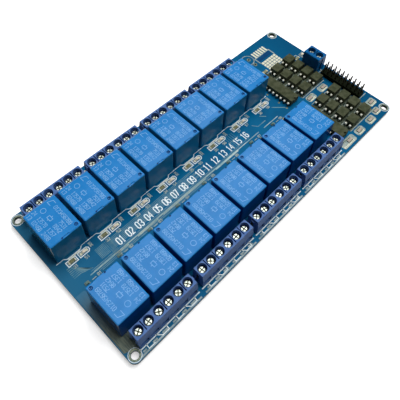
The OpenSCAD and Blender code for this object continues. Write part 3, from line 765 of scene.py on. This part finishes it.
# Painted shade beside the front relays, as on the lights
join(solder_finish, blend(solder_finish, along(solder_finish, "Y", -1, 1), (96, 116, 108),
                          solder_tone), solder_surface.inputs["Base Color"])
shine(solder_finish, 0.2)
dress("chip_resistors", resistor_finish)
dress("resistor_arrays", array_finish)
dress("channel_leds", light_finish)
dress("led_lenses", lens_finish)
dress("chip_terminations", solder_finish)
dress("solder_joints", solder_finish)

# ---- Studio ----
# White paper under the board's leads, a wide soft light overhead and beyond the board, and
# white surroundings.

FLOOR_SIZE = 4.0
FLOOR_DROP = 0.0002
PAPER_BOUNCE = (96, 96, 96)
PAPER_GLOW = 0.5
GLOW_NEAR = 0.25
GLOW_FAR = 1.0
SURROUND_LEVEL = 0.07


def seen_directly(tree):
    """1 for what the camera sees straight, mirrored or through glass, and 0 for bounced light."""
    rays = tree.nodes.new("ShaderNodeLightPath")
    total = rays.outputs["Is Camera Ray"]
    for kind in ("Is Glossy Ray", "Is Transmission Ray"):
        either = tree.nodes.new("ShaderNodeMath")
        either.operation = "MAXIMUM"
        tree.links.new(total, either.inputs[0])
        tree.links.new(rays.outputs[kind], either.inputs[1])
        total = either.outputs[0]
    return total


floor_mesh = bpy.data.meshes.new("floor")
half = FLOOR_SIZE / 2
floor_mesh.from_pydata([(-half, -half, -FLOOR_DROP), (half, -half, -FLOOR_DROP),
                        (half, half, -FLOOR_DROP), (-half, half, -FLOOR_DROP)],
                       [], [(0, 1, 2, 3)])
floor = bpy.data.objects.new("floor", floor_mesh)
bpy.context.scene.collection.objects.link(floor)
floor_finish, floor_surface = new_finish("studio_paper", 0.9)
paper = blend(floor_finish, cloud(floor_finish, 400.0), (250, 250, 250), (254, 254, 254))
in_sight = seen_directly(floor_finish.node_tree)
join(floor_finish, blend(floor_finish, in_sight, PAPER_BOUNCE, paper),
     floor_surface.inputs["Base Color"])
glow = add(floor_finish, "Math", operation="MULTIPLY")
join(floor_finish, in_sight, glow.inputs[0])
spot = add(floor_finish, "TexCoord")
distance = add(floor_finish, "VectorMath", operation="LENGTH")
join(floor_finish, spot.outputs["Object"], distance.inputs[0])
rise = add(floor_finish, "MapRange")
join(floor_finish, distance.outputs["Value"], rise.inputs["Value"])
rise.inputs["From Min"].default_value = GLOW_NEAR
rise.inputs["From Max"].default_value = GLOW_FAR
rise.inputs["To Min"].default_value = PAPER_GLOW
join(floor_finish, rise.outputs["Result"], glow.inputs[1])
floor_surface.inputs["Emission Color"].default_value = (1, 1, 1, 1)
join(floor_finish, glow.outputs[0], floor_surface.inputs["Emission Strength"])
shine(floor_finish, 0.0)
floor_mesh.materials.append(floor_finish)
floor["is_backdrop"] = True

world = bpy.data.worlds.new("studio")
bpy.context.scene.world = world
world.use_nodes = True
sky = world.node_tree.nodes["Background"]
sky.inputs["Color"].default_value = (1, 1, 1, 1)
level = world.node_tree.nodes.new("ShaderNodeMapRange")
level.inputs["To Min"].default_value = SURROUND_LEVEL
world.node_tree.links.new(seen_directly(world.node_tree), level.inputs["Value"])
world.node_tree.links.new(level.outputs["Result"], sky.inputs["Strength"])


def lamp(name, place, aim, size, power):
    data = bpy.data.lights.new(name, "AREA")
    data.shape = "RECTANGLE"
    data.size, data.size_y = size
    data.energy = power
    made = bpy.data.objects.new(name, data)
    made.location = place
    made.rotation_euler = (Vector(aim) - Vector(place)).to_track_quat("-Z", "Y").to_euler()
    bpy.context.scene.collection.objects.link(made)
    made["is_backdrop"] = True


lamp("overhead_softbox", (0.40, 0.04, 1.20), (0, 0, 0), (1.2, 0.9), 18.0)

# ---- Camera ----
# A moderately wide lens above the board's low-X front corner, looking down along it, with the
# picture plane shifted.

camera_data = bpy.data.cameras.new("camera")
camera_data.sensor_width = 36
camera_data.lens = 43.069
camera_data.shift_y = -0.15
camera = bpy.data.objects.new("camera", camera_data)
camera.location = (-0.10463, -0.07938, 0.19467)
camera.rotation_euler = [math.radians(a) for a in (36.3527, -2.2112, -45.4625)]
camera_data.clip_start, camera_data.clip_end = 0.005, 20
bpy.context.scene.collection.objects.link(camera)
bpy.context.scene.camera = camera
bpy.context.scene.view_settings.view_transform = "Standard"

low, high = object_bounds()
